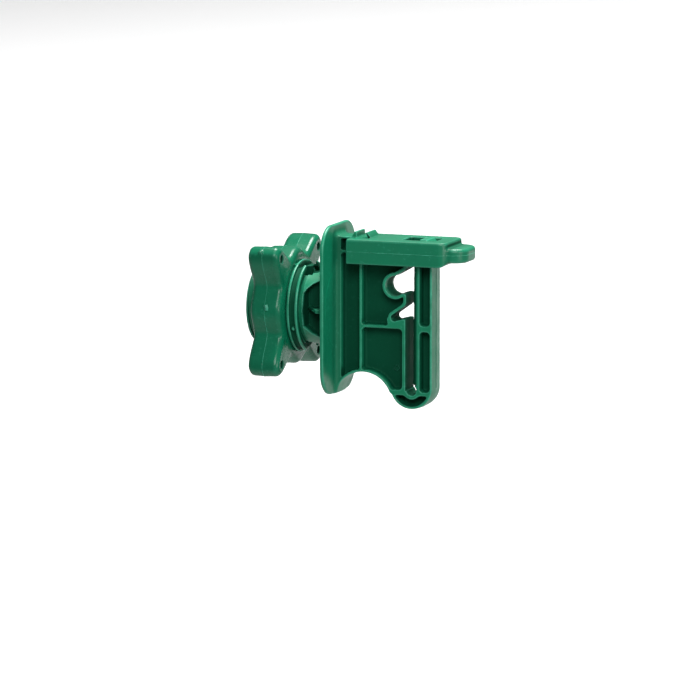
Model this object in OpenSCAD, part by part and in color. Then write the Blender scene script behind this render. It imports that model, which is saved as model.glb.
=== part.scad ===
// Electric-fence insulator that clamps on a round post and holds tape, rope or wire.
// The origin is where the post's axis crosses the clamp stem's axis.
// +X points away from the post towards the tape holder, and +Z is up along the post.

/* [Post clamp] */
// Diameter of the round post that the clamp grips
post_d = 10; // [9:0.5:11]
// Outer diameter of the threaded stem
stem_d = 27.6; // [27:0.1:28]
// Width of the post slot between the stem's two prongs
slot_w = 12; // [11.8:0.1:12.6]
// How far the stem reaches behind the post's axis
stem_reach = 21.3; // [20:0.1:24]

/* [Back plate] */
// Width of the back plate across the post
plate_w = 32.6; // [30:0.1:34]
// Height of the back plate along the post
plate_h = 57.4; // [57:0.1:60]
// Thickness of the back plate
plate_t = 1.5; // [1.2:0.1:2]
// Corner radius of the back plate
plate_corner = 9; // [6:0.5:12]

/* [Knob] */
// Thickness of the knob
knob_t = 11; // [9:0.1:11.5]
// Radius to the tip of a grip lobe
lobe_tip_r = 29.9; // [28:0.1:31]
// Radius of the hollows beside a lobe
valley_r = 18.7; // [18:0.1:20]
// Height of the low swell between two lobes
swell = 1.5; // [0:0.1:2]

/* [Pressure ring] */
// Outer radius of the ring's two flanges
flange_r = 15.7; // [15.2:0.1:17]
// Thickness of one flange
flange_t = 0.9; // [0.7:0.1:1.2]

/* [Tape holder] */
// Thickness of the holder across its ribs
holder_t = 8.9; // [8:0.1:10]
// Thickness of the thin web between the pockets
web_t = 1.6; // [1.2:0.1:2.4]
// Width of the ribs round the pockets
rib = 1.1; // [0.9:0.1:1.3]
// Narrowest width of the tape slot
tape_gap = 1.8; // [1.6:0.1:2.4]

/* [Latch] */
// Width of the latch cover
latch_w = 19.2; // [18:0.1:21]
// Wall thickness of the latch cover
latch_wall = 1.4; // [1.2:0.1:1.8]
// Radius of the hinge trunnions
trunnion_r = 1.2; // [1:0.05:1.3]

/* [Hidden] */
$fn = 96;
eps = 0.01;
green = [0.02, 0.43, 0.29];
deep_green = [0.02, 0.38, 0.26];
fresh_green = [0.03, 0.48, 0.33];

// Clearances
run_gap = 0.05;
slide_gap = 0.2;
swing_gap = 0.35;

// Clamp
post_r = post_d / 2;
stem_r = stem_d / 2;
neck_r = 13;
neck_x = -1;
plate_back = 6.4;
plate_front = plate_back + plate_t;
flare_x = 5;
flare_r = 14;
seat_wall = 1.6;
core_left = -0.8;
core_right = 5.4;
gusset_t = 1.4;
gusset_reach = 14;

// Knob
knob_front = -6.4;
knob_back = knob_front - knob_t;
knob_bore_r = stem_r + run_gap;
edge_layer = 1.2;
edge_scale = 0.955;
lobe_sharpness = 2.7;
lobe_spread = 12.6;
swell_spread = 15;
grip_hole_r = 1.35;
grip_hole_at = 25.2;
grip_hole_depth = 5;
rim_recess_depth = 1.6;
rim_recess_in = 15.4;
rim_recess_out = 17.2;

// Pressure ring
ring_bore_r = stem_r + 0.1;
ring_core_r = 14.7;
ring_back = knob_front + run_gap;
ring_front = -2;
flange_mid = -5.25;
saddle_gap = 0.7;
bridge_back = -8.2;
bridge_front = -3.6;

// Tape holder outline, in X and Z
bar_right = 42.4;
slot_left = 33.1;
slot_right = slot_left + tape_gap;
slot_mid = (slot_left + slot_right) / 2;
keyhole_x = 34.9;
keyhole_z = -26.5;
lip_flare = 0.7;
lip_depth = 1.2;
lobe_x = 34.75;
lobe_z = -25.65;
lobe_r = 7.45;
arch_x = 17.6;
arch_z = -31.3;
arch_r = 10;
foot_z = -28.1;
web_top = 20.5;
nose_x = 34.3;
shelf_z = 20.2;
bracket_top = 25;
bar_top = 23;
barb_top = 24.4;
divider_z = -5.3;
pocket_left = 9.8;
post_rib_x = 16.3;
bay_left = 17.2;
bay_right = 31.5;
bar_bay_left = 37.7;
bar_bay_right = 41.3;

// Latch, in X and Z
hinge_x = 14.6;
hinge_z = 22.8;
hinge_boss_r = bracket_top - hinge_z;
latch_left = 13.3;
latch_right = 48.9;
latch_bottom = 16.1;
latch_top = 24.5;
latch_inside_w = latch_w - 2 * latch_wall;
lug_w = 8.4;
window_left = 31.7;
window_right = 43.2;
cutout_right = 19.9;
tab_end = 55;
tab_w = 16;
tab_low = 17.6;
tab_high = 22.4;
tab_corner = 5;
end_round = 3;

// Extrudes an outline drawn in X and Z by a thickness centred on Y = 0.
module across(thickness) {
    rotate([90, 0, 0])
        linear_extrude(thickness, center = true)
            children();
}

// Extrudes an outline drawn in Y and Z from X = from to X = to.
module along(from, to) {
    translate([from, 0, 0])
        rotate([90, 0, 90])
            linear_extrude(to - from)
                children();
}

// Cylinder on the stem's axis from X = from to X = to.
module stem_rod(r, from, to) {
    translate([from, 0, 0])
        rotate([0, 90, 0])
            cylinder(r = r, h = to - from);
}

// Cylinder on the post's axis.
module post_rod(r, h) {
    cylinder(r = r, h = h, center = true);
}

// Rectangle with round corners, centred.
module round_rect(w, h, r) {
    square([w - 2 * r, h], center = true);
    square([w, h - 2 * r], center = true);
    for (sy = [-1, 1], sz = [-1, 1])
        translate([sy * (w / 2 - r), sz * (h / 2 - r)])
            circle(r);
}

// Plate that backs the tape holder and stands off the post.
module back_plate() {
    color(green)
        along(plate_back, plate_front)
            round_rect(plate_w, plate_h, plate_corner);
}

// Outline of the pocket cored into each side of the stem, behind the post's seat.
module core_pocket() {
    polygon([
        [core_left, -6.3],
        [core_left, 7.2],
        [core_right, 10],
        [core_right, -9.6]
    ]);
}

// Two half-moon prongs and the round seat that the post is pressed into.
module clamp_stem() {
    color(deep_green) {
        difference() {
            union() {
                stem_rod(stem_r, -stem_reach, neck_x);
                stem_rod(neck_r, neck_x - eps, plate_back);
                translate([flare_x, 0, 0])
                    rotate([0, 90, 0])
                        cylinder(r1 = neck_r, r2 = flare_r, h = plate_back - flare_x);
            }
            translate([-stem_reach - 1, -slot_w / 2, -stem_r - 1])
                cube([stem_reach + 1, slot_w, 2 * stem_r + 2]);
            post_rod(post_r, 2 * stem_r + 2);
            difference() {
                across(4 * stem_r)
                    core_pocket();
                post_rod(post_r + seat_wall, 2 * stem_r);
            }
        }
        // Gussets that brace the back plate across the middle of each pocket
        translate([0, 0, -gusset_t / 2])
            linear_extrude(gusset_t)
                for (sy = [-1, 1])
                    polygon([
                        [core_left, sy * (post_r + seat_wall - 0.1)],
                        [core_right + 0.1, sy * (post_r - 1)],
                        [plate_back, sy * (post_r - 1)],
                        [plate_back, sy * gusset_reach]
                    ]);
    }
}

// Rope notch, wire notch and tape slot, grown by g towards the faces and for the ribs.
module openings(g) {
    translate([29.1, 8.45])
        circle(3.1 + g);
    polygon([
        [27.9 - 0.48 * g, 11.35 + 0.88 * g],
        [nose_x, 14.85 + 1.1 * g],
        [slot_right, 14.85 + 1.1 * g],
        [slot_right, 6.3 - g],
        [31.6, 6.3 - g],
        [29.1, 5.35 - g]
    ]);
    translate([28.8, -2.1])
        circle(1 + g);
    polygon([
        [28.2 - 0.58 * g, -1.3 + 0.81 * g],
        [33.3 - g, 2.37 + 0.5 * g],
        [slot_right, 2.37 + 0.5 * g],
        [slot_right, -2.4 - g],
        [31.8, -2.3 - g],
        [28.8, -3.1 - g]
    ]);
    translate([33.3 - g, -2.4])
        square([slot_right - 33.3 + 1.8 * g, 17]);
    translate([slot_left - 0.6 * g, keyhole_z])
        square([tape_gap + 2.1 * g, -keyhole_z - 2.3]);
    translate([keyhole_x, keyhole_z])
        circle(1.6 + g);
    translate([nose_x - g, 10])
        square([slot_right - nose_x + 2.5 * g, bar_top]);
}

// Whole side outline of the holder, with its arch and its rounded lower lobe.
module holder_outline() {
    difference() {
        union() {
            translate([plate_front, foot_z])
                square([lobe_x - lobe_r - plate_front, shelf_z - foot_z]);
            translate([lobe_x - lobe_r, lobe_z])
                square([nose_x - lobe_x + lobe_r, web_top - lobe_z]);
            translate([post_rib_x, 0])
                square([bay_right - post_rib_x, web_top]);
            translate([slot_mid, lobe_z])
                square([bar_right - slot_mid, -lobe_z]);
            translate([slot_right, 0])
                square([bar_right - slot_right, bar_top]);
            translate([lobe_x, lobe_z])
                circle(lobe_r);
            translate([plate_front, 0])
                square([hinge_x - plate_front, bracket_top]);
            translate([hinge_x, shelf_z - 1])
                square([hinge_boss_r, hinge_z - shelf_z + 1]);
            translate([hinge_x, hinge_z])
                circle(hinge_boss_r);
        }
        translate([arch_x, arch_z])
            circle(arch_r);
        openings(0);
    }
}

// Outlines of the shallow pockets in each face of the holder.
module holder_pockets() {
    difference() {
        union() {
            translate([pocket_left, foot_z + 1])
                square([post_rib_x - pocket_left, shelf_z - foot_z - 2]);
            translate([bay_left, -26.5])
                square([bay_right - bay_left, divider_z - 0.5 + 26.5]);
        }
        translate([arch_x, arch_z])
            circle(arch_r + rib);
    }
    difference() {
        translate([bay_left, divider_z + 0.5])
            square([nose_x - rib - bay_left, web_top - rib - divider_z - 0.5]);
        openings(lip_flare + rib);
        translate([26.3, -6])
            square([8, 3.5]);
    }
    translate([pocket_left, shelf_z])
        square([2.4, bracket_top - shelf_z - 1]);
    translate([bar_bay_left, -4.5])
        square([bar_bay_right - bar_bay_left, 26]);
    translate([bar_bay_left, -27])
        square([bar_bay_right - bar_bay_left, 20.5]);
    difference() {
        translate([lobe_x, lobe_z])
            circle(lobe_r - rib);
        translate([lobe_x - lobe_r, -28.3])
            square([2 * lobe_r, 2 * lobe_r]);
        translate([keyhole_x, keyhole_z])
            circle(1.6 + lip_flare + rib - 0.2);
    }
}

// Ribbed holder with two notches, the tape slot, the outer bar and the hinge boss.
module tape_holder() {
    pocket_depth = (holder_t - web_t) / 2;
    pocket_y = (holder_t + web_t) / 4;
    color(green) {
        difference() {
            across(holder_t)
                holder_outline();
            for (sy = [-1, 1])
                translate([0, sy * (pocket_y + eps), 0])
                    across(pocket_depth + 2 * eps)
                        holder_pockets();
            // Wider lips at both faces, where tape, rope and wire enter
            for (sy = [-1, 1])
                translate([0, sy * holder_t / 2, 0])
                    across(2 * lip_depth)
                        openings(lip_flare);
            // Bore for the latch's trunnions
            translate([hinge_x, 0, hinge_z])
                rotate([90, 0, 0])
                    cylinder(r = trunnion_r + run_gap, h = holder_t + 1, center = true);
        }
        // Upright fin over the hinge
        across(lug_w)
            polygon([
                [hinge_x - 1.2, bracket_top - 0.4],
                [hinge_x, 26.5],
                [hinge_x + 0.7, 26.5],
                [hinge_x + 0.8, bracket_top - 0.4]
            ]);
        // Barb that snaps through the latch's window
        across(lug_w - 0.6)
            polygon([
                [36.7, bar_top - eps],
                [37.2, barb_top],
                [40.2, barb_top],
                [41.8, bar_top - eps]
            ]);
    }
}

// Spool-shaped ring that the knob pushes against the post.
module pressure_ring() {
    color(green) {
        difference() {
            union() {
                stem_rod(ring_core_r, ring_back, ring_front);
                stem_rod(flange_r, flange_mid - flange_t / 2, flange_mid + flange_t / 2);
                stem_rod(flange_r, ring_front - flange_t, ring_front);
            }
            stem_rod(ring_bore_r, ring_back - 1, ring_front + 1);
            translate([-post_r, -post_r - saddle_gap, -flange_r - 1])
                cube([post_r, 2 * (post_r + saddle_gap), 2 * flange_r + 2]);
            post_rod(post_r, 2 * flange_r + 2);
        }
        // Bridge through the stem's slot, which keeps the ring from turning
        difference() {
            union() {
                intersection() {
                    stem_rod(stem_r - 0.4, bridge_back, bridge_front);
                    translate([bridge_back, slide_gap - slot_w / 2, -stem_r])
                        cube([bridge_front - bridge_back, slot_w - 2 * slide_gap, 2 * stem_r]);
                }
                for (sz = [-1, 1])
                    translate([ring_back, slide_gap - slot_w / 2, sz * (ring_bore_r + 0.1) - 1])
                        cube([-post_r - ring_back, slot_w - 2 * slide_gap, 2]);
            }
            post_rod(post_r, 2 * flange_r + 2);
        }
    }
}

// Radius of the knob's outline at angle a: four lobes on the diagonals, low swells between.
function knob_r(a) =
    let (off = abs((a % 90) - 45))
    valley_r
    + (lobe_tip_r - valley_r) * exp(-pow(off / lobe_spread, lobe_sharpness))
    + swell * exp(-pow((45 - off) / swell_spread, 2));

module knob_outline() {
    polygon([for (a = [0:3:357]) knob_r(a) * [cos(a), sin(a)]]);
}

// Four-lobed nut that turns on the stem's thread.
module clamp_knob() {
    color(fresh_green)
        difference() {
            union() {
                along(knob_back + edge_layer, knob_front - edge_layer)
                    knob_outline();
                along(knob_back, knob_front)
                    scale(edge_scale)
                        knob_outline();
            }
            stem_rod(knob_bore_r, knob_back - 1, knob_front + 1);
            for (a = [45:90:315])
                rotate([a, 0, 0])
                    translate([0, 0, grip_hole_at])
                        stem_rod(grip_hole_r, knob_front - grip_hole_depth, knob_front + 1);
            // Shallow groove round the bore in the outer face
            difference() {
                stem_rod(rim_recess_out, knob_back - 1, knob_back + rim_recess_depth);
                stem_rod(rim_recess_in, knob_back - 2, knob_back + rim_recess_depth + 1);
            }
        }
}

// Side outline of the cover, with its lower outer corner rounded.
module cover_side() {
    translate([latch_left, latch_bottom])
        square([latch_right - end_round - latch_left, latch_top - latch_bottom]);
    translate([latch_left, latch_bottom + end_round])
        square([latch_right - latch_left, latch_top - latch_bottom - end_round]);
    translate([latch_right - end_round, latch_bottom + end_round])
        circle(end_round);
}

// Plan of the thumb tab from the end wall outwards, with round outer corners.
module tab_plan() {
    wall_x = latch_right - latch_wall;
    difference() {
        union() {
            translate([wall_x, -tab_w / 2])
                square([tab_end - tab_corner - wall_x, tab_w]);
            translate([wall_x, -tab_w / 2 + tab_corner])
                square([tab_end - wall_x, tab_w - 2 * tab_corner]);
            for (sy = [-1, 1])
                translate([tab_end - tab_corner, sy * (tab_w / 2 - tab_corner)])
                    circle(tab_corner);
        }
        translate([wall_x - tab_corner, -tab_w])
            square([tab_corner, 2 * tab_w]);
    }
}

// Channel-shaped cover that closes the notches and the slot from above.
module latch_cover() {
    trunnion_reach = 2.2;
    color(fresh_green)
        difference() {
            union() {
                difference() {
                    across(latch_w)
                        cover_side();
                    translate([latch_left - 1, -latch_inside_w / 2, latch_bottom - 1])
                        cube([
                            latch_right - latch_wall - latch_left + 1,
                            latch_inside_w,
                            latch_top - latch_wall - latch_bottom + 1
                        ]);
                    translate([window_left, -lug_w / 2, latch_top - 2])
                        cube([window_right - window_left, lug_w, 3]);
                    translate([latch_left - 1, -holder_t / 2 - swing_gap, latch_bottom])
                        cube([
                            cutout_right - latch_left + 1,
                            holder_t + 2 * swing_gap,
                            latch_top - latch_bottom + 1
                        ]);
                }
                translate([0, 0, tab_low])
                    linear_extrude(tab_high - tab_low)
                        tab_plan();
                across(lug_w)
                    polygon([
                        [cutout_right, latch_top - 1],
                        [cutout_right - 1.4, 26.4],
                        [cutout_right - 0.7, 26.4],
                        [cutout_right + 1.1, latch_top - 1]
                    ]);
                for (sy = [-1, 1])
                    translate([hinge_x, sy * (latch_inside_w / 2 + trunnion_reach) / 2, hinge_z])
                        rotate([90, 0, 0])
                            cylinder(
                                r = trunnion_r,
                                h = latch_inside_w / 2 - trunnion_reach + 0.4,
                                center = true
                            );
            }
        }
}

back_plate();
clamp_stem();
tape_holder();
pressure_ring();
clamp_knob();
latch_cover();
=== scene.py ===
"""Fence insulator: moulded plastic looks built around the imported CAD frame.

Each moulding is a distance field in millimetres, turned into a smooth mesh with round edges and fillets.
"""
import math

import bpy
import numpy as np
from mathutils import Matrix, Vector


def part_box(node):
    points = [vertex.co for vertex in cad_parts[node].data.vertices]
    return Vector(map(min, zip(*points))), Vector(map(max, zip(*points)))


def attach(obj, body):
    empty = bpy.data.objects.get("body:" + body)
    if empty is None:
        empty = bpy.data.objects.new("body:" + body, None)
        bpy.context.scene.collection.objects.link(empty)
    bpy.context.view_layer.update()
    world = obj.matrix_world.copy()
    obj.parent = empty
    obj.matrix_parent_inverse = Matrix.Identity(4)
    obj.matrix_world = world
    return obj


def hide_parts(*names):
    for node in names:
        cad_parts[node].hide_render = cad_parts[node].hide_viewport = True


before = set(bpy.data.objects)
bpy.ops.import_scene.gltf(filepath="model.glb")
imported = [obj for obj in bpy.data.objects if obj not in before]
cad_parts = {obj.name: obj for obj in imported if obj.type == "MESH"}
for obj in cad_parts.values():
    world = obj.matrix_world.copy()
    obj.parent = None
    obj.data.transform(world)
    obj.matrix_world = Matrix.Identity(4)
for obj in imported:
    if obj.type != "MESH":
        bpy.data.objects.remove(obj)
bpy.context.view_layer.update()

MM = 0.001

# Driving sizes, in millimetres, taken from the CAD nodes where a node's box gives them
plate_low, plate_high = (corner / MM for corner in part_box("back_plate"))
stem_low, stem_high = (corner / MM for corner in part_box("clamp_stem"))
holder_low, holder_high = (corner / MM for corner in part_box("tape_holder"))
ring_low, ring_high = (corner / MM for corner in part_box("pressure_ring"))
knob_low, knob_high = (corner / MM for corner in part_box("clamp_knob"))
latch_low, latch_high = (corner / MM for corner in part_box("latch_cover"))

POST_R = 5.0
HINGE = (14.6, 22.8)      # x and z of the latch's axis
TRUNNION_R = 1.2
DRAFT = 0.035             # taper of the walls, per millimetre from the parting plane
LINE = 0.12               # room kept under the CAD surface for a parting line
FIN_HALF = 4.2            # half width of the small fins by the hinge


# ---------------------------------------------------------------- distance fields

def join(a, b, k=0.0):
    """Union, with a fillet of about k where the two shapes meet."""
    if k == 0:
        return np.minimum(a, b)
    h = np.maximum(k - np.abs(a - b), 0) / k
    return np.minimum(a, b) - h * h * k / 4


def meet(a, b, k=0.0):
    """Intersection, with its edges rounded by about k."""
    return -join(-a, -b, k)


def cut(a, b, k=0.0):
    """Shape a less shape b."""
    return meet(a, -b, k)


def disc(u, v, cu, cv, r):
    return np.hypot(u - cu, v - cv) - r


def rect(u, v, u0, u1, v0, v1, r=0.0):
    """Rectangle with corners of radius r."""
    qu = np.abs(u - (u0 + u1) / 2) - (u1 - u0) / 2 + r
    qv = np.abs(v - (v0 + v1) / 2) - (v1 - v0) / 2 + r
    return np.hypot(np.maximum(qu, 0), np.maximum(qv, 0)) + np.minimum(np.maximum(qu, qv), 0) - r


def polygon(u, v, points):
    """Signed distance to a closed polygon."""
    best = None
    inside = None
    for (ax, ay), (bx, by) in zip(points, points[1:] + points[:1]):
        ex, ey = bx - ax, by - ay
        wx, wy = u - ax, v - ay
        t = np.clip((wx * ex + wy * ey) / (ex * ex + ey * ey), 0, 1)
        gap = np.hypot(wx - ex * t, wy - ey * t)
        best = gap if best is None else np.minimum(best, gap)
        crosses = ((ay > v) != (by > v)) & (u < ex * (v - ay) / (ey if ey else 1e-9) + ax)
        inside = crosses if inside is None else inside ^ crosses
    return np.where(inside, -best, best)


def ball(x, y, z, centre, r):
    return np.sqrt((x - centre[0]) ** 2 + (y - centre[1]) ** 2 + (z - centre[2]) ** 2) - r


def slab(flat, w, w0, w1, r=0.0):
    """Extrudes a flat outline from w0 to w1, with its edges rounded by r."""
    qa = flat + r
    qb = np.abs(w - (w0 + w1) / 2) - (w1 - w0) / 2 + r
    return np.hypot(np.maximum(qa, 0), np.maximum(qb, 0)) + np.minimum(np.maximum(qa, qb), 0) - r


# ---------------------------------------------------------------- mesh from a field

CORNERS = [(i, j, k) for i in (0, 1) for j in (0, 1) for k in (0, 1)]
EDGES = [(a, b) for a in CORNERS for b in CORNERS if sum(b) - sum(a) == 1
         and all(q >= p for p, q in zip(a, b))]


def surface_net(field, low, high, step):
    """Vertices and quads of the field's zero surface on a regular grid."""
    axes = [np.arange(lo - 1.5 * step, hi + 2.5 * step, step, dtype=np.float32)
            for lo, hi in zip(low, high)]
    x, y, z = axes[0][:, None, None], axes[1][None, :, None], axes[2][None, None, :]
    values = np.ascontiguousarray(np.broadcast_to(field(x, y, z), [len(a) for a in axes]))
    inside = values < 0
    nx, ny, nz = (n - 1 for n in inside.shape)
    count = sum(inside[i:nx + i, j:ny + j, k:nz + k].astype(np.int8) for i, j, k in CORNERS)
    active = (count > 0) & (count < 8)
    index = np.full(active.shape, -1, np.int64)
    cells = np.argwhere(active)
    index[active] = np.arange(len(cells))
    total = np.zeros((len(cells), 3))
    hits = np.zeros(len(cells))
    for a, b in EDGES:
        va = values[tuple((cells + a).T)]
        vb = values[tuple((cells + b).T)]
        crossed = (va < 0) != (vb < 0)
        share = va[crossed] / (va[crossed] - vb[crossed])
        total[crossed] += np.array(a) + share[:, None] * (np.array(b) - np.array(a))
        hits[crossed] += 1
    origin = np.array([a[0] for a in axes])
    points = origin + step * (cells + total / hits[:, None])
    quads = []
    for axis in range(3):
        near = np.moveaxis(inside, axis, 0)
        change = near[:-1] != near[1:]
        spots = np.argwhere(change[:, 1:-1, 1:-1]) + (0, 1, 1)
        leaving = near[:-1][tuple(spots.T)]
        turned = np.moveaxis(index, axis, 0)
        corners = [turned[spots[:, 0], spots[:, 1] - p, spots[:, 2] - q]
                   for p, q in ((1, 1), (0, 1), (0, 0), (1, 0))]
        loop = np.stack(corners, 1)
        loop[~leaving] = loop[~leaving][:, ::-1]
        quads.append(loop if axis != 1 else loop[:, ::-1])
    return points, np.concatenate(quads)


def slope(field, p, h=0.04):
    """Gradient of the field at points p."""
    out = np.empty_like(p)
    for axis in range(3):
        ahead, behind = p.copy(), p.copy()
        ahead[:, axis] += h
        behind[:, axis] -= h
        out[:, axis] = (field(*ahead.T) - field(*behind.T)) / (2 * h)
    return out


def settle(field, p, reach, rounds=4):
    """Moves points onto the field's zero surface."""
    start = p.copy()
    for _ in range(rounds):
        g = slope(field, p)
        p = p - g * (field(*p.T) / np.maximum((g * g).sum(1), 0.05))[:, None]
        moved = p - start
        far = np.linalg.norm(moved, axis=1)
        p = start + moved * np.minimum(1, reach / np.maximum(far, 1e-9))[:, None]
    return p


def bend_at(field, p, h=0.3):
    """How sharply the surface bends at points p: above 0 on outer edges, below 0 in corners."""
    total = -6 * field(*p.T)
    for axis in range(3):
        for way in (-h, h):
            q = p.copy()
            q[:, axis] += way
            total = total + field(*q.T)
    return total / (h * h)


def enclosure_shade_at(field, p, normals):
    """How enclosed the surface is at points p: 0 in the open, towards 1 deep in a pocket; baked in as
    painted shade.
    """
    total = 0
    for reach in (1.2, 2.4, 4.2):
        gap = field(*(p + normals * reach).T)
        total = total + np.clip(1 - gap / reach, 0, 1)
    return total / 3


def mould(name, field, low, high, step, keep, shade_mask=None):
    """A mesh object of the field, thinned to a share of its faces, with true normals, edge bends, and
    painted shade where the surface is enclosed.
    """
    points, quads = surface_net(field, low, high, step)
    points = settle(field, points, step)
    mesh = bpy.data.meshes.new(name)
    mesh.from_pydata(points * MM, [], quads)
    obj = bpy.data.objects.new(name, mesh)
    bpy.context.scene.collection.objects.link(obj)
    thin = obj.modifiers.new("thin", "DECIMATE")
    thin.ratio = keep
    graph = bpy.context.evaluated_depsgraph_get()
    thinned = bpy.data.meshes.new_from_object(obj.evaluated_get(graph))
    obj.modifiers.clear()
    obj.data = thinned
    bpy.data.meshes.remove(mesh)
    thinned.name = name
    co = np.empty(len(thinned.vertices) * 3)
    thinned.vertices.foreach_get("co", co)
    p = settle(field, co.reshape(-1, 3) / MM, step / 2, 2)
    thinned.vertices.foreach_set("co", (p * MM).ravel())
    thinned.validate()
    normals = slope(field, p)
    normals /= np.maximum(np.linalg.norm(normals, axis=1), 1e-9)[:, None]
    thinned.shade_smooth()
    thinned.normals_split_custom_set_from_vertices(normals.tolist())
    # How sharply outer edges bend, which the material paints paler: partly wear by rubbing, partly a painted
    # highlight.
    edge = thinned.attributes.new("edge", "FLOAT", "POINT")
    edge.data.foreach_set("value", np.clip(bend_at(field, p) / 4, -1, 1).astype(np.float32))
    # Painted shade: how enclosed or sunk each point is, which darkens its colour in pockets, corners and
    # grooves.
    painted_shade = thinned.attributes.new("painted_shade", "FLOAT", "POINT")
    enclosed = enclosure_shade_at(field, p, normals)
    if shade_mask:
        enclosed = np.maximum(enclosed, shade_mask(*p.T))
    painted_shade.data.foreach_set("value", enclosed.astype(np.float32))
    thinned.update()
    return obj


# ---------------------------------------------------------------- insulator moulding

HOLDER_HALF = holder_high.y
WEB_HALF = 0.8
EYE = (34.95, -26.5)
EYE_R = 1.6
SLOT_LEFT = 32.95
SLOT_RIGHT = 34.8
ARCH = (17.6, -31.3, 10.0)
LOBE = (34.75, -25.65, 7.45)
BAR_RIGHT = holder_high.x
NOSE = 34.2
BAR_LEFT = 34.3
FOOT = -28.1
WEB_TOP = 20.5
BRACKET_TOP = 25.0
BAR_TOP = 23.0
SHELF = 20.2
RIB = 1.1
BARB_HALF = 3.9


def openings(x, z):
    """Rope notch, wire notch, tape slot, round eye and throat, as one outline at mid thickness."""
    rope = polygon(x, z, [(27.9, 11.35), (NOSE, 14.85), (SLOT_RIGHT, 14.85), (SLOT_RIGHT, 6.3),
                          (31.6, 6.3), (29.1, 5.4)])
    rope = join(rope, disc(x, z, 29.05, 8.7, 3.3))
    wire = polygon(x, z, [(28.2, -1.3), (33.3, 2.37), (SLOT_RIGHT, 2.37), (SLOT_RIGHT, -2.4),
                          (31.8, -2.3), (28.8, -3.1)])
    wire = join(wire, disc(x, z, 28.8, -2.1, 1.0))
    channel = rect(x, z, 33.3, SLOT_RIGHT, -2.4, 14.6)
    slot = rect(x, z, SLOT_LEFT, SLOT_RIGHT, EYE[1], -2.0)
    throat = rect(x, z, NOSE, SLOT_RIGHT, 12, 40)
    notches = join(join(rope, channel, 1.0), join(wire, channel, 1.0), 0.3)
    passage = join(join(notches, slot, 0.2), throat, 0.8)
    return join(passage, disc(x, z, *EYE, EYE_R), 0.3)


def flared_openings(x, y, z):
    """The openings with lips that widen towards both faces, and the bar's sloping land."""
    side = np.clip((np.abs(y) - 2.2) / 2.25, 0, 1)
    land = np.maximum(np.maximum(BAR_LEFT - x, (x - SLOT_RIGHT - 2.0 * side) * 0.75), -24.9 - z)
    return join(openings(x, z) - DRAFT * np.abs(y), land, 0.4)


def holder_outline(x, z):
    """The holder from the side: web, bar with its round lobe, hinge boss, and the arch in its foot."""
    edge = [(7.0, FOOT), (38.0, FOOT), (38.0, WEB_TOP), (HINGE[0] + 2.2, WEB_TOP),
            (HINGE[0] + 2.2, HINGE[1]), (HINGE[0], BRACKET_TOP), (7.0, BRACKET_TOP)]
    bar = rect(x, z, LOBE[0] - LOBE[2], BAR_RIGHT, LOBE[1] - LOBE[2], 40, LOBE[2])
    bar = meet(bar, np.maximum(z - BAR_TOP, np.minimum(BAR_LEFT - x, z)))
    whole = join(polygon(x, z, edge), bar, 0.8)
    whole = join(whole, disc(x, z, *HINGE, 2.2))
    return cut(whole, disc(x, z, *ARCH), 0.5)


def holder_pockets(x, z):
    """The pockets sunk into both faces of the holder, which leave the ribs standing."""
    arch = disc(x, z, ARCH[0], ARCH[1], ARCH[2] + RIB)
    first = rect(x, z, 9.8, 16.3, -27, SHELF - 1, 0.9)
    bay = rect(x, z, 17.2, 31.6, -26.5, -5.8, 1.4)
    low = cut(join(first, bay), arch, 0.9)
    around = join(openings(x, z) - 0.1 - RIB, rect(x, z, 26.4, 36.0, -6.0, -2.6), 1.2)
    high = cut(rect(x, z, 17.2, 33.3, -4.8, WEB_TOP - RIB, 0.9), around, 0.9)
    bracket = rect(x, z, 9.8, 12.3, SHELF, BRACKET_TOP - 1, 0.5)
    bar_high = rect(x, z, 37.85, 41.4, -4.5, 21.4, 1.3)
    bar_low = rect(x, z, 37.85, 41.4, -27.0, -6.5, 1.3)
    bean = meet(disc(x, z, LOBE[0], LOBE[1], LOBE[2] - RIB), z + 28.3, 1.0)
    bean = cut(bean, disc(x, z, *EYE, 3.1), 0.8)
    pockets = low
    for other in (high, bracket, bar_high, bar_low, bean):
        pockets = join(pockets, other)
    return pockets


def tape_holder(x, y, z):
    outline = holder_outline(x, z) + DRAFT * np.abs(y) + LINE
    solid = slab(outline, y, -HOLDER_HALF, HOLDER_HALF, 0.3)
    hollow = holder_pockets(x, z) + 0.045 * (HOLDER_HALF - np.abs(y))
    solid = cut(solid, meet(hollow, WEB_HALF - np.abs(y), 0.8), 0.4)
    solid = cut(solid, flared_openings(x, y, z), 0.35)
    mark = slab(np.abs(disc(x, z, 28.6, -19.6, 0.85)) - 0.12, np.abs(y), 0.5, WEB_HALF + 0.16, 0.05)
    solid = join(solid, mark, 0.15)
    bore = disc(x, z, *HINGE, TRUNNION_R + 0.06)
    solid = cut(solid, bore, 0.15)
    fin = polygon(x, z, [(13.2, 24.2), (14.55, 26.5), (15.3, 26.5), (15.5, 24.2)])
    solid = join(solid, slab(fin, y, -FIN_HALF, FIN_HALF, 0.2), 0.4)
    barb = polygon(x, z, [(36.7, 22.0), (37.9, 24.75), (40.2, 24.75), (41.8, 22.8), (41.8, 22.0)])
    return join(solid, slab(barb, y, -BARB_HALF, BARB_HALF, 0.25), 0.3)


PLATE_CORNER = 9.0


def back_plate(x, y, z):
    shape = rect(y, z, plate_low.y, plate_high.y, plate_low.z, plate_high.z, PLATE_CORNER)
    return slab(shape, x + 0.012 * np.abs(y), plate_low.x + 0.012 * np.abs(y), plate_high.x, 0.55)


THREAD_R = 13.8
THREAD_ROOT = 12.75
THREAD_PITCH = 3.0
THREAD_END = -1.2         # x where the thread runs out into the neck
SLOT_HALF = 6.0
NECK_R = 13.0
FLARE_R = 14.0


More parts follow.
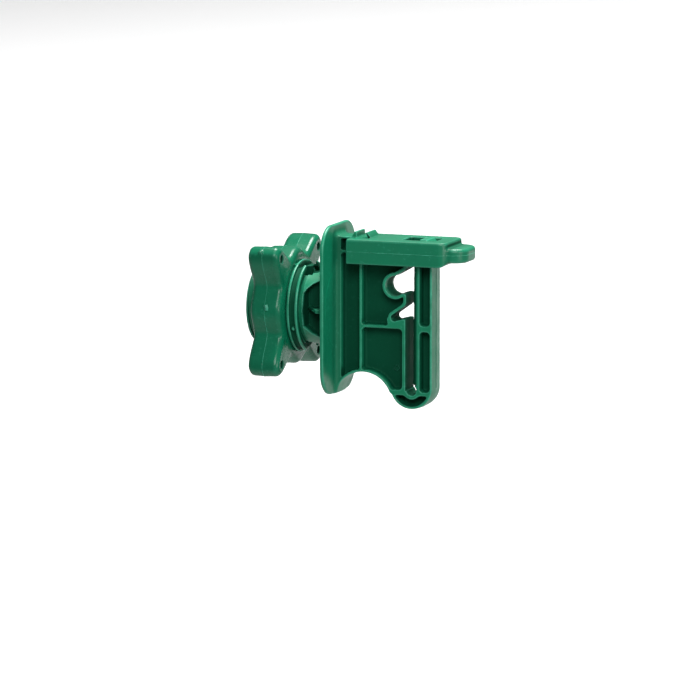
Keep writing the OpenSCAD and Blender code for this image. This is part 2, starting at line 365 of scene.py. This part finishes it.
def thread(x, r, turn, root, crest, slack=0.0):
    """Height of a trapezoid screw thread about +X; slack widens it for the nut's side."""
    phase = (x / THREAD_PITCH - turn / (2 * np.pi)) % 1.0
    ramp = np.clip(1.5 - 6 * np.abs(phase - 0.5) + slack, 0, 1)
    return root + (crest - root) * (ramp * ramp * (3 - 2 * ramp))


def clamp_stem(x, y, z):
    """Split screw with a neck that is cored out beside the post and stiffened by two gussets."""
    r = np.hypot(y, z)
    turn = np.arctan2(z, y)
    end_fade = np.clip((x - stem_low.x) / 2.2, 0, 1) * np.clip((THREAD_END - x) / 1.5, 0, 1)
    crest = NECK_R + (THREAD_R - NECK_R) * end_fade
    root = np.where(x < THREAD_END, THREAD_ROOT, NECK_R)
    screw = (r - thread(x, r, turn, root, crest)) * 0.8
    flare = NECK_R + (FLARE_R - NECK_R) * np.clip((x - 4.2) / 2.2, 0, 1) ** 2
    body = np.where(x < THREAD_END, screw, r - flare)
    in_plate = x - plate_high.x + 0.5
    body = meet(body, np.maximum(stem_low.x - x, in_plate), 0.5)
    body = cut(body, np.maximum(np.abs(y) - SLOT_HALF, x), 0.5)
    high = polygon(x, z, [(-0.9, 0), (-0.9, 5.8), (0.2, 7.3), (1.8, 8.7), (4.0, 9.7), (5.4, 10.1), (5.4, 0)])
    low = polygon(x, z, [(-0.9, 0), (-0.9, -5.4), (1.8, -7.9), (5.4, -9.6), (5.4, 0)])
    cores = meet(join(high, low), POST_R + 1.6 - np.hypot(x, y), 0.6)
    body = cut(body, cores, 0.5)
    gusset = meet(np.abs(z) - 0.65, (np.abs(y) - 8.1 - 1.375 * x) * 0.6, 0.4)
    gusset = meet(gusset, np.maximum(np.maximum(-0.4 - x, in_plate), r - FLARE_R + 0.3))
    return cut(join(body, gusset, 0.5), disc(x, y, 0, 0, POST_R), 0.3)


def moulding_shade(x, y, z):
    """Painted shade for the holder's pockets and the neck's: how far a point lies inside them, from 0
    outside to 0.6 at the floor.
    """
    shade_depth = np.clip((HOLDER_HALF - 0.5 - np.abs(y)) / 2.0, 0, 1)
    within = np.clip(-(holder_outline(x, z) + 0.5) / 0.5, 0, 1) * np.clip((x - 8.6) / 0.6, 0, 1)
    neck = np.clip((12.4 - np.hypot(y, z)) / 1.0, 0, 1) * (np.abs(x - 2.4) < 3.6) * (np.hypot(x, y) > 5.4)
    return np.maximum(0.6 * shade_depth * within * (z < 21.5), 0.6 * neck)


def insulator(x, y, z):
    """Plate, holder and stem as one moulding."""
    plate = back_plate(x, y, z)
    return join(join(plate, tape_holder(x, y, z), 2.4), clamp_stem(x, y, z), 1.0)


# ---------------------------------------------------------------- ring, knob and latch

FLANGES = (-5.25, -2.45)
FLANGE_R = ring_high.y
SPOOL_R = 14.7
RING_BORE_R = 13.95
BRIDGE_HALF = 5.75
BRIDGE_BACK = -8.2
BRIDGE_FRONT = -3.6
BRIDGE_TOP = 13.2
RING_NOTCH_HALF = 5.7
RING_GATE = (-3.8, -13.7, -6.0)
ARM_BACK = -6.3
ARM_FRONT = -5.0


def pressure_ring(x, y, z):
    """Spool with two thin flanges, and a bridge through the stem's slot that presses on the post."""
    r = np.hypot(y, z)
    spool = slab(r - SPOOL_R, x, ring_low.x + 1.9, ring_high.x, 0.15)
    for mid in FLANGES:
        spool = join(spool, slab(r - FLANGE_R, x, mid - 0.45, mid + 0.45, 0.35), 0.5)
    sleeve = slab(r - SPOOL_R - 0.2, x, ARM_BACK, ARM_FRONT, 0.2)
    spool = join(spool, sleeve, 0.3)
    spool = cut(spool, r - RING_BORE_R, 0.2)
    spool = cut(spool, np.maximum(np.abs(y) - RING_NOTCH_HALF, np.maximum(x, ARM_FRONT - x)), 0.4)
    bridge = rect(y, z, -BRIDGE_HALF, BRIDGE_HALF, -BRIDGE_TOP, BRIDGE_TOP, 0.5)
    bridge = slab(bridge, x, BRIDGE_BACK, BRIDGE_FRONT, 0.4)
    arms = rect(y, z, -BRIDGE_HALF, BRIDGE_HALF, -SPOOL_R, SPOOL_R, 0.5)
    arms = slab(arms, x, ARM_BACK, ARM_FRONT, 0.25)
    whole = join(join(spool, bridge, 0.5), arms, 0.4)
    whole = join(whole, ball(x, y, z, RING_GATE, 0.75), 0.3)
    return cut(whole, disc(x, y, 0, 0, POST_R), 0.3)


def ring_shade(x, y, z):
    """Painted shade in the groove between the flanges: how far a point lies down in it, from 0 to 0.6."""
    return 0.6 * np.clip((15.3 - np.hypot(y, z)) / 0.4, 0, 1) * (x > ring_low.x) * (x < -0.5)


LOBE_TIP_R = 29.9
VALLEY_R = 18.7
SWELL = 1.5
LOBE_SPREAD = 12.6        # degrees
LOBE_SHARPNESS = 2.7
SWELL_SPREAD = 15         # degrees
PARTING_X = -12.0
KNOB_LINE = 0.23          # room kept under the CAD surface for the knob's parting line
HUB_R = 17.4
RIM_GROOVE_R = 16.6
GRIP_HOLE_AT = 25.2
GRIP_HOLE_R = 1.35
GRIP_HOLE_DEPTH = 5
THREAD_PLAY = 0.13
KNOB_GATE = (-12.6, -20.75, 19.9)


def knob_radius(turn):
    """The knob's outline: four lobes on the diagonals with low swells between them."""
    off = np.abs(np.degrees(turn) % 90 - 45)
    lobe = (LOBE_TIP_R - VALLEY_R) * np.exp(-(off / LOBE_SPREAD) ** LOBE_SHARPNESS)
    return VALLEY_R + lobe + SWELL * np.exp(-((45 - off) / SWELL_SPREAD) ** 2)


def knob(x, y, z):
    """Four-lobed nut with draft, a rim groove, a thread, a hole in each lobe and a torn-off gate."""
    r = np.hypot(y, z)
    turn = np.arctan2(z, y)
    out = knob_radius(turn) - KNOB_LINE
    lean = (knob_radius(turn + 0.01) - KNOB_LINE - out) / 0.01 / out
    flat = (r - out) / np.sqrt(1 + lean * lean) + DRAFT * np.abs(x - PARTING_X)
    body = slab(flat, x, knob_low.x, knob_high.x, 1.9)
    hub = slab(r - HUB_R, x, knob_low.x, knob_high.x, 1.2)
    body = join(body, hub, 0.6)
    groove = slab(np.abs(r - RIM_GROOVE_R) - 0.7, x, knob_low.x - 2, knob_low.x + 1.5, 0.3)
    body = cut(body, groove, 0.4)
    socket = (r - thread(x, r, turn, THREAD_ROOT + THREAD_PLAY, THREAD_R + THREAD_PLAY, 0.35)) * 0.8
    body = cut(body, socket, 0.2)
    lead_in = r - THREAD_R - 0.1 + 1.2 * np.minimum(x - knob_low.x, knob_high.x - x)
    body = cut(body, lead_in, 0.2)
    quarter = (turn % (np.pi / 2)) - np.pi / 4
    hole = disc(r * np.cos(quarter), r * np.sin(quarter), GRIP_HOLE_AT, 0, GRIP_HOLE_R)
    body = cut(body, np.maximum(hole, knob_high.x - GRIP_HOLE_DEPTH - x), 0.35)
    grit = 0.12 * np.sin(9 * x + 2) * np.sin(8 * y) * np.sin(7 * z)
    return join(body, ball(x, y, z, KNOB_GATE, 1.25) + grit, 0.25)


WALL = 1.4
LATCH_HALF = latch_high.y
COVER_RIGHT = 48.9
COVER_TOP = 24.5
COVER_CORNER = 3.0
TAB_HALF = 8.0
TAB_CORNER = 5.2
TAB_BOTTOM = 17.6
TAB_TOP = 22.5
WINDOW = (31.7, 43.2, -4.2, 4.2)
HINGE_GAP = (0.0, 19.9, -4.8, 4.8)
LATCH_PARTING_Z = 20.3


def latch(x, y, z):
    """Channel-shaped cover, open below and at the hinge, with a window, a thumb tab and two trunnions."""
    side = np.abs(y) + DRAFT * np.abs(z - LATCH_PARTING_Z) + LINE
    plan = rect(x, side, 0.0, COVER_RIGHT, -LATCH_HALF, LATCH_HALF, COVER_CORNER)
    lower = rect(x, z, 0.0, COVER_RIGHT, latch_low.z, 50.0, COVER_CORNER)
    cover = meet(meet(plan, lower, 0.5), z - COVER_TOP, 0.9)
    cover = meet(cover, latch_low.x - x, 0.5)
    inner = rect(x, np.abs(y), -9.0, COVER_RIGHT - WALL, -LATCH_HALF + WALL, LATCH_HALF - WALL, 1.8)
    cover = cut(cover, meet(inner, z - COVER_TOP + WALL, 0.8), 0.3)
    tab_plan = rect(x, y, 42.0, latch_high.x, -TAB_HALF, TAB_HALF, TAB_CORNER) + LINE
    tab = meet(slab(tab_plan, z, TAB_BOTTOM, TAB_TOP, 1.2), COVER_RIGHT - WALL + 0.2 - x)
    cover = join(cover, tab, 0.9)
    window = meet(rect(x, y, *WINDOW, 0.9), 22 - z)
    cover = cut(cover, window, 0.45)
    opening = rect(x, y, *HINGE_GAP, 0.6)
    cover = cut(cover, meet(opening, 20 - z), 0.35)
    fin = polygon(x, z, [(19.9, 23.2), (18.5, 26.4), (19.15, 26.4), (21.4, 23.2)])
    cover = join(cover, slab(fin, y, -FIN_HALF, FIN_HALF, 0.2), 0.4)
    pin = slab(disc(x, z, *HINGE, TRUNNION_R), np.abs(y), 2.2, LATCH_HALF - 0.8, 0.25)
    return join(cover, pin, 0.3)


# ---------------------------------------------------------------- fine moulding lines

def flash(name, path, outward, width=0.4, height=0.11, closed=False, dark=False):
    """Thin ridge along a path of points, standing proud along the outward directions; painted pale unless
    dark, when it carries painted shade.
    """
    count = len(path)
    verts = []
    for i, (p, out) in enumerate(zip(path, outward)):
        ahead = path[(i + 1) % count] if closed or i + 1 < count else p
        behind = path[i - 1] if closed or i > 0 else p
        out = Vector(out).normalized()
        across = (Vector(ahead) - Vector(behind)).cross(out).normalized() * (width / 2)
        base = Vector(p) - out * 0.2
        verts += [base - across, Vector(p) + out * height, base + across]
    faces = []
    for i in range(count if closed else count - 1):
        a, b = 3 * i, 3 * ((i + 1) % count)
        for s in range(3):
            t = (s + 1) % 3
            faces.append((a + s, a + t, b + t, b + s))
    if not closed:
        faces += [(2, 1, 0), tuple(3 * (count - 1) + s for s in range(3))]
    mesh = bpy.data.meshes.new(name)
    mesh.from_pydata([v * MM for v in verts], [], faces)
    tint = mesh.attributes.new("painted_shade" if dark else "edge", "FLOAT", "POINT")
    tint.data.foreach_set("value", [0.4 if dark else 1.3] * len(verts))
    mesh.update()
    obj = bpy.data.objects.new(name, mesh)
    bpy.context.scene.collection.objects.link(obj)
    return obj


def arc(cx, cy, r, start, end, count=12):
    """Points and outward directions along an arc, in degrees."""
    out = []
    for i in range(count + 1):
        a = math.radians(start + (end - start) * i / count)
        out.append(((cx + r * math.cos(a), cy + r * math.sin(a)), (math.cos(a), math.sin(a))))
    return out


def knob_flash():
    turns = [math.radians(a) for a in np.arange(0, 360, 1.5)]
    radii = [float(knob_radius(np.array(t))) - KNOB_LINE for t in turns]
    path = [(PARTING_X, r * math.cos(t), r * math.sin(t)) for r, t in zip(radii, turns)]
    out = [(0, math.cos(t), math.sin(t)) for t in turns]
    return flash("knob_parting_line", path, out, closed=True)


def knob_nub():
    near = -float(knob_radius(np.array(math.pi)))
    path = [(-11.3, near, 0.6), (-11.2, near, 1.4), (-11.5, near, 2.4)]
    return flash("knob_gate_nub", path, [(0, -1, 0)] * 3, width=1.5, height=0.4)


def latch_flash():
    side = [((x, LINE - LATCH_HALF), (0, -1)) for x in np.linspace(latch_low.x + 0.4, 45.8, 8)]
    side += arc(COVER_RIGHT - COVER_CORNER, COVER_CORNER + LINE - LATCH_HALF, COVER_CORNER, -90, -34)
    side += [((49.2, -7.9), (0, -1))]
    side += arc(latch_high.x - TAB_CORNER, TAB_CORNER - TAB_HALF, TAB_CORNER - LINE, -90, 0)
    path = [((u, v, LATCH_PARTING_Z), (a, b, 0)) for (u, v), (a, b) in side]
    path += [((u, -v, w), (a, -b, 0)) for (u, v, w), (a, b, _) in reversed(path)]
    return flash("latch_parting_line", [p for p, _ in path], [out for _, out in path])


def holder_flash():
    run = [((BAR_RIGHT - LINE, z), (1, 0)) for z in np.linspace(22.0, LOBE[1], 12)]
    run += arc(LOBE[0], LOBE[1], LOBE[2] - LINE, 0, -170, 32)[1:]
    path = [(u, 0, w) for (u, w), _ in run]
    # Painted shade: the holder's parting ridge is darkened as the shade along it.
    return flash("holder_parting_line", path, [(a, 0, b) for _, (a, b) in run], dark=True)


# ---------------------------------------------------------------- material

def green_plastic(name, tone, gloss, shine=0.38):
    """Semi-gloss moulded plastic with flow marks, fine grain and handling wear; outer edges painted paler,
    partly as wear by rubbing and partly as a painted highlight, and sunk places darkened with painted shade.
    """
    material = bpy.data.materials.new(name)
    material.use_nodes = True
    nodes, links = material.node_tree.nodes, material.node_tree.links
    shader = nodes["Principled BSDF"]
    shader.inputs["IOR"].default_value = 1.49
    place = nodes.new("ShaderNodeTexCoord")

    def noise(scale, detail, rough=0.5, stretch=(1, 1, 1)):
        mapping = nodes.new("ShaderNodeMapping")
        mapping.inputs["Scale"].default_value = stretch
        links.new(place.outputs["Object"], mapping.inputs["Vector"])
        node = nodes.new("ShaderNodeTexNoise")
        node.inputs["Scale"].default_value = scale
        node.inputs["Detail"].default_value = detail
        node.inputs["Roughness"].default_value = rough
        links.new(mapping.outputs["Vector"], node.inputs["Vector"])
        return node.outputs["Fac"]

    def remap(value, low, high, out_low, out_high):
        node = nodes.new("ShaderNodeMapRange")
        node.inputs["From Min"].default_value = low
        node.inputs["From Max"].default_value = high
        node.inputs["To Min"].default_value = out_low
        node.inputs["To Max"].default_value = out_high
        links.new(value, node.inputs["Value"])
        return node.outputs["Result"]

    def blend(share, a, b):
        node = nodes.new("ShaderNodeMix")
        node.data_type = "RGBA"
        for socket, value in ((0, share), (6, a), (7, b)):
            if isinstance(value, (tuple, float)):
                node.inputs[socket].default_value = value
            else:
                links.new(value, node.inputs[socket])
        return node.outputs[2]

    def math_node(kind, a, b):
        node = nodes.new("ShaderNodeMath")
        node.operation = kind
        for socket, value in ((0, a), (1, b)):
            if isinstance(value, float):
                node.inputs[socket].default_value = value
            else:
                links.new(value, node.inputs[socket])
        return node.outputs[0]

    base = tuple(c * tone for c in (0.003, 0.185, 0.090)) + (1.0,)
    dark = tuple(c * tone for c in (0.002, 0.145, 0.069)) + (1.0,)
    pale = tuple(c * tone for c in (0.08, 0.48, 0.32)) + (1.0,)
    flow = remap(noise(55, 4, 0.55, (1, 1, 0.45)), 0.32, 0.7, 0.0, 1.0)
    colour = blend(flow, dark, base)
    speck = remap(noise(900, 2), 0.62, 0.72, 0.0, 0.16)
    colour = blend(speck, colour, pale)
    # Outer edges painted paler: partly wear by rubbing, partly a painted highlight along the rounded edges.
    bend = nodes.new("ShaderNodeAttribute")
    bend.attribute_name = "edge"
    rub_and_highlight = remap(noise(240, 3), 0.35, 0.65, 0.35, 1.0)
    edge = math_node("MULTIPLY", remap(bend.outputs["Fac"], 0.12, 1.3, 0.0, 0.95), rub_and_highlight)
    colour = blend(edge, colour, pale)
    # Painted shade: the colour darkens towards a near-black green where the surface is enclosed, and the
    # same mask roughens and dulls it there.
    shade_depth = nodes.new("ShaderNodeAttribute")
    shade_depth.attribute_name = "painted_shade"
    shade_colour = tuple(c * 0.18 for c in dark[:3]) + (1.0,)
    colour = blend(remap(shade_depth.outputs["Fac"], 0.04, 0.6, 0.0, 0.8), colour, shade_colour)
    links.new(colour, shader.inputs["Base Color"])
    rough = remap(noise(160, 5, 0.6), 0.3, 0.7, gloss - 0.05, gloss + 0.08)
    scuff = remap(noise(420, 4, 0.7, (0.25, 1, 1)), 0.6, 0.75, 0.0, 0.1)
    rough = math_node("ADD", rough, remap(shade_depth.outputs["Fac"], 0.1, 0.55, 0.0, 0.3))
    links.new(math_node("ADD", rough, scuff), shader.inputs["Roughness"])
    links.new(remap(shade_depth.outputs["Fac"], 0.05, 0.55, shine, 0.08), shader.inputs["Specular IOR Level"])
    grain = nodes.new("ShaderNodeBump")
    grain.inputs["Strength"].default_value = 0.16
    grain.inputs["Distance"].default_value = 0.00006
    links.new(noise(2600, 2), grain.inputs["Height"])
    sink = nodes.new("ShaderNodeBump")
    sink.inputs["Strength"].default_value = 0.35
    sink.inputs["Distance"].default_value = 0.00035
    links.new(noise(95, 2, 0.4), sink.inputs["Height"])
    links.new(grain.outputs["Normal"], sink.inputs["Normal"])
    links.new(sink.outputs["Normal"], shader.inputs["Normal"])
    return material


# ---------------------------------------------------------------- camera, light, floor

VIEW_AZIMUTH = math.radians(20)
VIEW_ELEVATION = math.radians(8.35)
VIEW_WIDTH = 0.2365
VIEW_DISTANCE = 2.5
VIEW_RIGHT = 0.01076
VIEW_UP = -0.0149
SENSOR = 36.0


def make_camera():
    a, e = VIEW_AZIMUTH, VIEW_ELEVATION
    back = Vector((math.sin(a) * math.cos(e), -math.cos(a) * math.cos(e), math.sin(e)))
    right = Vector((math.cos(a), math.sin(a), 0))
    up = back.cross(right)
    target = right * VIEW_RIGHT + up * VIEW_UP
    data = bpy.data.cameras.new("camera")
    data.sensor_width = SENSOR
    data.lens = SENSOR * VIEW_DISTANCE / VIEW_WIDTH
    data.dof.use_dof = False
    camera = bpy.data.objects.new("camera", data)
    camera.location = target + back * VIEW_DISTANCE
    camera.rotation_euler = (-back).to_track_quat("-Z", "Y").to_euler()
    bpy.context.scene.collection.objects.link(camera)
    bpy.context.scene.camera = camera


def area_light(name, place, target, size, power):
    data = bpy.data.lights.new(name, "AREA")
    data.shape = "DISK"
    data.size = size
    data.energy = power
    lamp = bpy.data.objects.new(name, data)
    lamp.location = place
    lamp.rotation_euler = (Vector(place) - Vector(target)).to_track_quat("Z", "Y").to_euler()
    bpy.context.scene.collection.objects.link(lamp)
    return lamp


def make_studio():
    middle = (0.015, 0, 0)
    area_light("top_light", (0.05, 0.17, 0.73), middle, 0.38, 12.5)
    area_light("front_light", (0.35, -0.8, 0.55), middle, 0.5, 6.8)
    area_light("right_light", (0.75, -0.35, 0.1), middle, 0.35, 2.0)
    backdrop = area_light("back_light", (0, 7.1, 2.3), (0, 7.1, 0), 8.0, 500.0)
    backdrop.visible_glossy = False
    world = bpy.data.worlds.new("studio")
    world.use_nodes = True
    world.node_tree.nodes["Background"].inputs["Color"].default_value = (1, 1, 1, 1)
    world.node_tree.nodes["Background"].inputs["Strength"].default_value = 0.21
    bpy.context.scene.world = world
    reach, lift = 12.0, -0.9
    mesh = bpy.data.meshes.new("floor")
    corners = [(-reach, -reach), (reach, -reach), (reach, reach), (-reach, reach)]
    mesh.from_pydata([(u, v, lift) for u, v in corners], [], [(0, 1, 2, 3)])
    floor = bpy.data.objects.new("floor", mesh)
    bpy.context.scene.collection.objects.link(floor)
    paint = bpy.data.materials.new("floor_paint")
    paint.use_nodes = True
    shader = paint.node_tree.nodes["Principled BSDF"]
    shader.inputs["Base Color"].default_value = (0.9, 0.9, 0.9, 1)
    shader.inputs["Roughness"].default_value = 0.7
    mesh.materials.append(paint)


# ---------------------------------------------------------------- build

BODY_LOOK = (1.04, 0.35)
# The knob's lower tone is painted shade: a darker copy of the same green that stands in for the lesser light
# on the knob.
KNOB_LOOK = (0.76, 0.26, 0.25)
LATCH_LOOK = (0.9, 0.34)


def place(obj, body, material, *nodes):
    """Gives a piece its material and body, and hides the CAD nodes that it stands for."""
    obj.data.materials.clear()
    obj.data.materials.append(material)
    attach(obj, body)
    if nodes:
        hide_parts(*nodes)
    return obj


make_camera()
make_studio()

STEP = 0.25
KEEP = 0.4

body_green = green_plastic("body_green", *BODY_LOOK)
knob_green = green_plastic("knob_green", *KNOB_LOOK)
latch_green = green_plastic("latch_green", *LATCH_LOOK)

insulator_low = Vector(map(min, plate_low, stem_low, holder_low))
insulator_high = Vector(map(max, plate_high, stem_high, holder_high))
place(mould("insulator_moulding", insulator, insulator_low, insulator_high, STEP, KEEP, moulding_shade),
      "insulator", body_green, "back_plate", "clamp_stem", "tape_holder")
place(mould("clamp_ring", pressure_ring, ring_low, ring_high, STEP, KEEP, ring_shade),
      "pressure_ring", body_green, "pressure_ring")
place(mould("lobed_knob", knob, knob_low, knob_high, STEP, KEEP), "knob", knob_green, "clamp_knob")
place(mould("latch_lid", latch, latch_low, latch_high, STEP, KEEP), "latch", latch_green, "latch_cover")
place(knob_flash(), "knob", knob_green)
place(knob_nub(), "knob", knob_green)
place(holder_flash(), "insulator", body_green)
place(latch_flash(), "latch", latch_green)

bpy.context.scene.view_settings.view_transform = "Standard"
